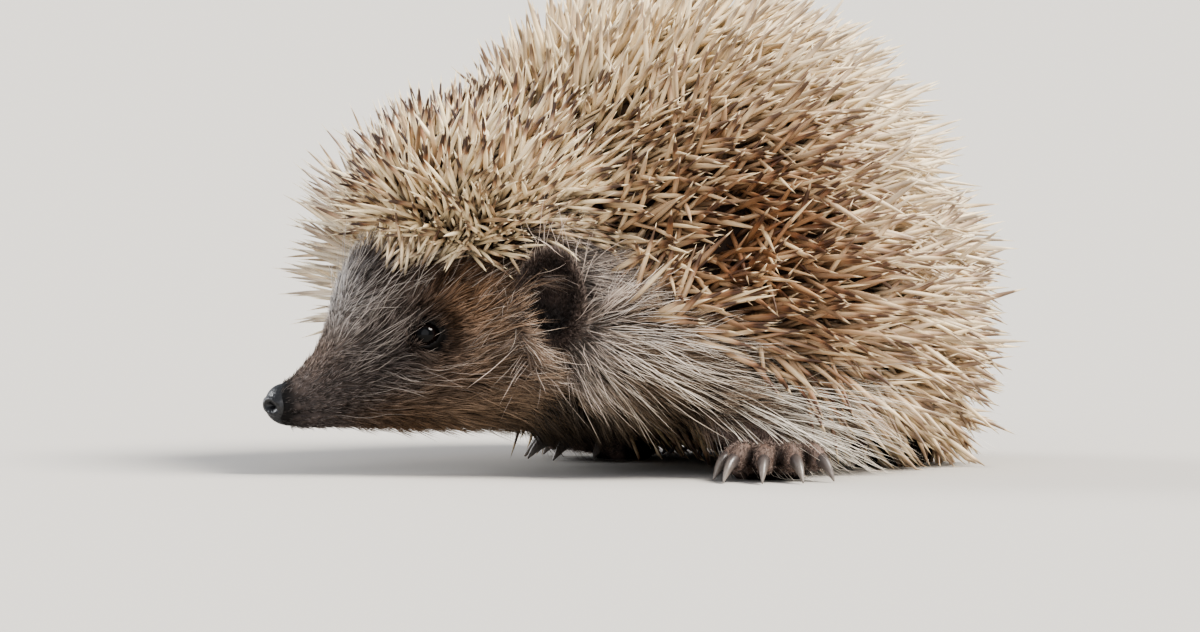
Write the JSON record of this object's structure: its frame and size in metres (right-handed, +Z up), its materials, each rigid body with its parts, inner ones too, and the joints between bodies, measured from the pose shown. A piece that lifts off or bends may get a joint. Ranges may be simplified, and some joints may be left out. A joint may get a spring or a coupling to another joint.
{
  "type": "european hedgehog model",
  "caption": "Still, life-size model of a European hedgehog crouched on its paws, head turned to its right, with a domed coat of spines and long hair along the sides.",
  "frame": {"origin": "on the floor below the middle of the bounding box, between the paws", "axes": "+Z up, -Y towards the muzzle along the body, +X to the animal's left"},
  "size_m": [0.1276, 0.1566, 0.1008],
  "materials": {
    "spines": "smooth horny spines, cream with brown bands, half gloss",
    "fur": "coarse fur, dark brown on the face to pale grey along the sides",
    "bare_skin": "thin dark skin with a fine down",
    "nose": "black, pebbled and moist",
    "eye": "black, wet and glossy",
    "claw": "grey-brown horn, paler at the tips"
  },
  "bodies": {
    "root": {"trunk": "spines", "head": "fur", "neck": "fur", "tail": "fur", "foreleg_left": "fur", "foreleg_right": "fur", "hindleg_left": "fur", "hindleg_right": "fur", "ear_left": "bare_skin", "ear_right": "bare_skin", "nose": "nose", "eye_left": "eye", "eye_right": "eye", "claw_foreleg_left_1": "claw", "claw_foreleg_left_2": "claw", "claw_foreleg_left_3": "claw", "claw_foreleg_left_4": "claw", "claw_foreleg_left_5": "claw", "claw_foreleg_right_1": "claw", "claw_foreleg_right_2": "claw", "claw_foreleg_right_3": "claw", "claw_foreleg_right_4": "claw", "claw_foreleg_right_5": "claw", "claw_hindleg_left_1": "claw", "claw_hindleg_left_2": "claw", "claw_hindleg_left_3": "claw", "claw_hindleg_left_4": "claw", "claw_hindleg_left_5": "claw", "claw_hindleg_right_1": "claw", "claw_hindleg_right_2": "claw", "claw_hindleg_right_3": "claw", "claw_hindleg_right_4": "claw", "claw_hindleg_right_5": "claw"}
  },
  "joints": []
}
